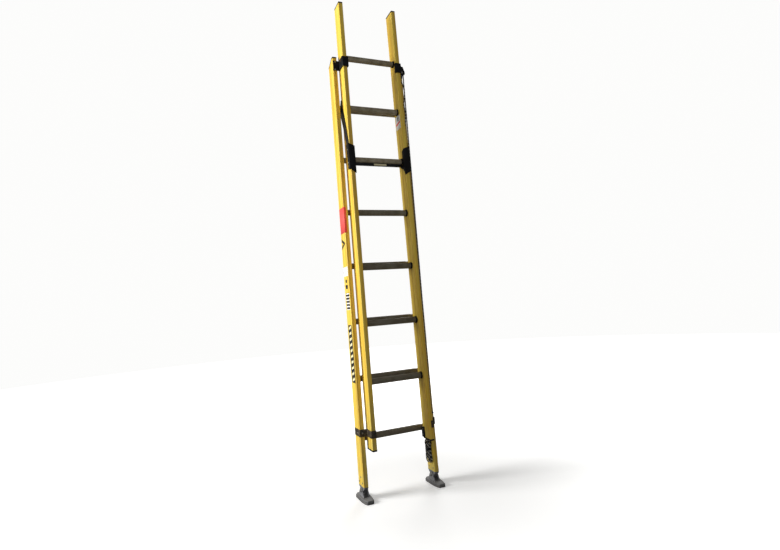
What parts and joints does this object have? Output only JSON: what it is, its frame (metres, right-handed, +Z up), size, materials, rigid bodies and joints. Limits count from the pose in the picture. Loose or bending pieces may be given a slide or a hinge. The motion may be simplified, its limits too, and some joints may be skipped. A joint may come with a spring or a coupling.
{
  "type": "extension ladder",
  "caption": "Two-section fibreglass extension ladder with round rungs, guides, a swinging rung lock, a rope over a side pulley and tilting ribbed feet.",
  "frame": {"origin": "centre of the footprint at floor level", "axes": "+X across the ladder to the right as a climber sees it, +Y away from the climber, +Z up along the stiles"},
  "size_m": [0.471, 0.1616, 2.708],
  "materials": {
    "fibreglass": "yellow pultruded glass fibre, semi-gloss with faint lengthwise fibres",
    "rung_metal": "extruded aluminium, dull brown-grey, ribbed on the tread",
    "moulded_black": "black glass-filled nylon, fine satin",
    "black_steel": "black powder coat, rubbed bright at the bends",
    "zinc_steel": "zinc-plated steel, slightly dull",
    "pulley_nylon": "dark grey nylon, polished in the groove by the rope",
    "foot_metal": "dark grey coated casting",
    "pad_rubber": "ribbed dark grey rubber, dusty",
    "label_cream": "cream vinyl label",
    "rope_fibre": "braided black polyester with pale flecks"
  },
  "bodies": {
    "base_section": {"base_stile_left": "fibreglass", "base_stile_right": "fibreglass", "base_rung_1": "rung_metal", "base_rung_2": "rung_metal", "base_rung_3": "rung_metal", "base_rung_4": "rung_metal", "base_rung_5": "rung_metal", "base_rung_6": "rung_metal", "base_rung_7": "rung_metal", "base_rung_collars": "moulded_black", "base_top_caps": "moulded_black", "base_rivets": "zinc_steel", "top_guide_left": "moulded_black", "top_guide_right": "moulded_black", "bottom_guide_left": "black_steel", "bottom_guide_right": "black_steel", "pulley_housing": "moulded_black", "pulley_axle": "zinc_steel", "foot_plug_left": "foot_metal", "foot_plug_right": "foot_metal", "foot_bolt_left": "zinc_steel", "foot_bolt_right": "zinc_steel", "haul_rope": "rope_fibre", "rope_over_pulley": "rope_fibre", "rope_tail": "rope_fibre", "rope_hank": "rope_fibre"},
    "fly_section": {"fly_stile_left": "fibreglass", "fly_stile_right": "fibreglass", "fly_rung_1": "rung_metal", "fly_rung_2": "rung_metal", "fly_rung_3": "rung_metal", "fly_rung_4": "rung_metal", "fly_rung_5": "rung_metal", "fly_rung_6": "rung_metal", "fly_rung_7": "rung_metal", "fly_rung_collars": "moulded_black", "fly_top_caps": "moulded_black", "fly_bottom_caps": "moulded_black", "fly_slide_shoe_left": "moulded_black", "fly_slide_shoe_right": "moulded_black", "fly_rivets": "zinc_steel", "rope_anchor": "black_steel"},
    "lock_yoke": {"yoke_arm_left": "black_steel", "yoke_arm_right": "black_steel", "yoke_sleeve_left": "moulded_black", "yoke_sleeve_right": "moulded_black", "yoke_cross_bar": "black_steel", "yoke_label": "label_cream", "yoke_rivets": "zinc_steel"},
    "pulley": {"pulley_wheel": "pulley_nylon"},
    "foot_left": {"foot_shoe_left": "foot_metal", "foot_pad_left": "pad_rubber"},
    "foot_right": {"foot_shoe_right": "foot_metal", "foot_pad_right": "pad_rubber"}
  },
  "joints": [
    {"name": "fly_slide", "type": "slide", "parent": "base_section", "child": "fly_section", "axis": [0, 0, 1], "range_m": [0, 1.5], "deforming": ["haul_rope"]},
    {"name": "pulley_spin", "type": "hinge", "parent": "base_section", "child": "pulley", "pos_m": [0.201, -0.03875, 2.335], "axis": [0, -1, 0], "range_deg": [0, 7165]},
    {"name": "yoke_swing", "type": "hinge", "parent": "base_section", "child": "lock_yoke", "pos_m": [0, 0.02075, 2.1], "axis": [-1, 0, 0], "range_deg": [0, 40]},
    {"name": "foot_left_tilt", "type": "hinge", "parent": "base_section", "child": "foot_left", "pos_m": [-0.2055, 0.02075, 0.044], "axis": [1, 0, 0], "range_deg": [0, 35]},
    {"name": "foot_right_tilt", "type": "hinge", "parent": "base_section", "child": "foot_right", "pos_m": [0.2055, 0.02075, 0.044], "axis": [1, 0, 0], "range_deg": [0, 35]}
  ],
  "couplings": [
    {"joint": "pulley_spin", "follows": "fly_slide", "rad_per_m": 83.333}
  ]
}
